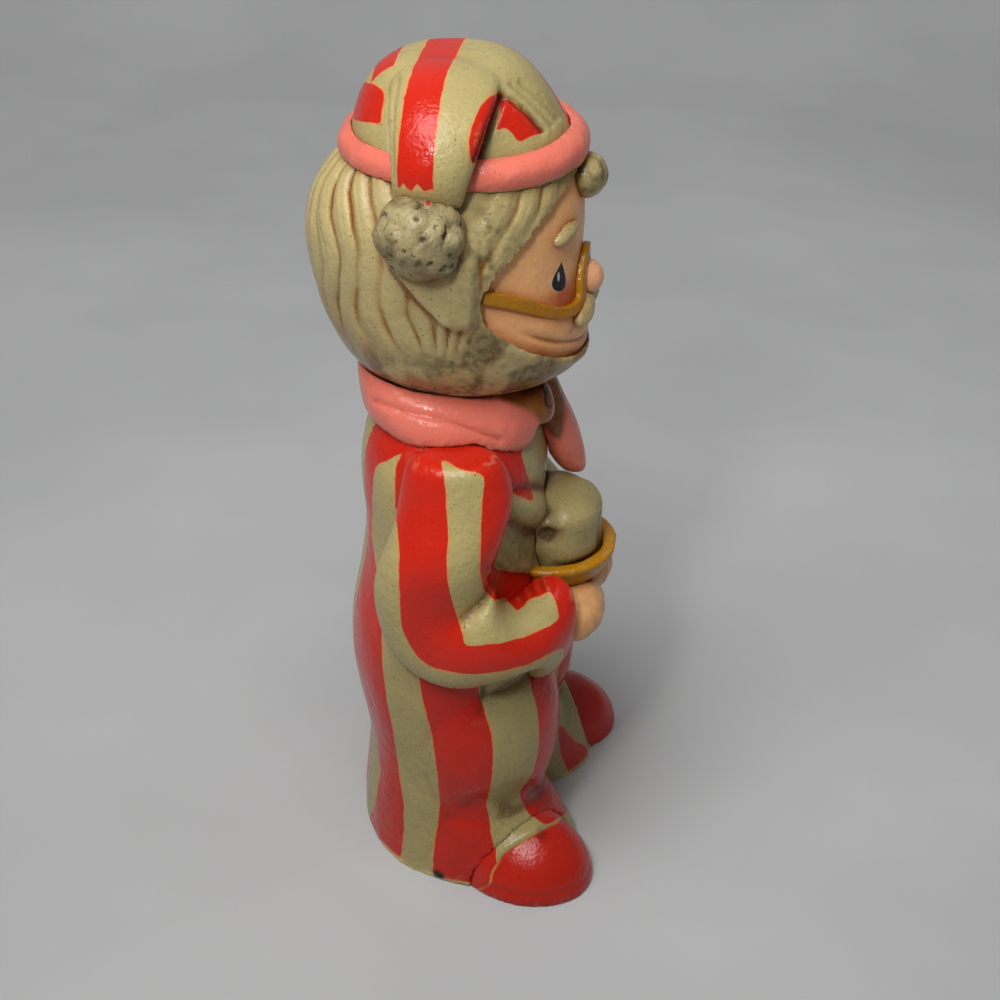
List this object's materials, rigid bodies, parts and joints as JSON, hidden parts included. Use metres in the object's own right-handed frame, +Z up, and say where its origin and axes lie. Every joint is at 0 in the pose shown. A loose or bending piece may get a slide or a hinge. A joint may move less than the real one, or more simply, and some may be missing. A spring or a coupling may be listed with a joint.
{
  "type": "chalkware figure",
  "caption": "Free-standing painted plaster figure of a bearded sleeper in striped nightclothes and a tailed nightcap, holding a candle stub in a dish, for display on a shelf.",
  "frame": {"origin": "centre of the figure's footprint, on the plane it stands on", "axes": "+Z up through the cap, the figure faces -Y and its right side is towards -X"},
  "size_m": [0.089, 0.0708, 0.1976],
  "materials": {
    "striped_red_cream": "glossy lacquer over red and cream stripes",
    "cream_stripe_hem": "glossy lacquer over red and cream bands",
    "red_slipper": "glossy red enamel",
    "gilt": "worn gold paint under varnish",
    "wax_cream": "satin cream paint",
    "flesh": "satin flesh paint with amber varnish",
    "pink_trim": "glossy pink enamel",
    "hair_cream": "satin grey-cream paint with amber varnish in the grooves",
    "nose_pink": "satin pink paint",
    "pompom_cream": "pitted grey-cream paint"
  },
  "bodies": {
    "root": {"body": "striped_red_cream", "right_sleeve": "striped_red_cream", "left_sleeve": "striped_red_cream", "nightcap": "striped_red_cream", "cap_tail": "striped_red_cream", "right_trouser_hem": "cream_stripe_hem", "left_trouser_hem": "cream_stripe_hem", "right_slipper": "red_slipper", "left_slipper": "red_slipper", "right_hand": "flesh", "left_hand": "flesh", "head": "flesh", "nose": "nose_pink", "candle_dish": "gilt", "spectacles": "gilt", "candle": "wax_cream", "collar": "pink_trim", "left_lapel": "pink_trim", "cap_cuff": "pink_trim", "hair": "hair_cream", "beard": "hair_cream", "moustache": "hair_cream", "eyebrows": "hair_cream", "forelock": "hair_cream", "pompom": "pompom_cream"}
  },
  "joints": []
}
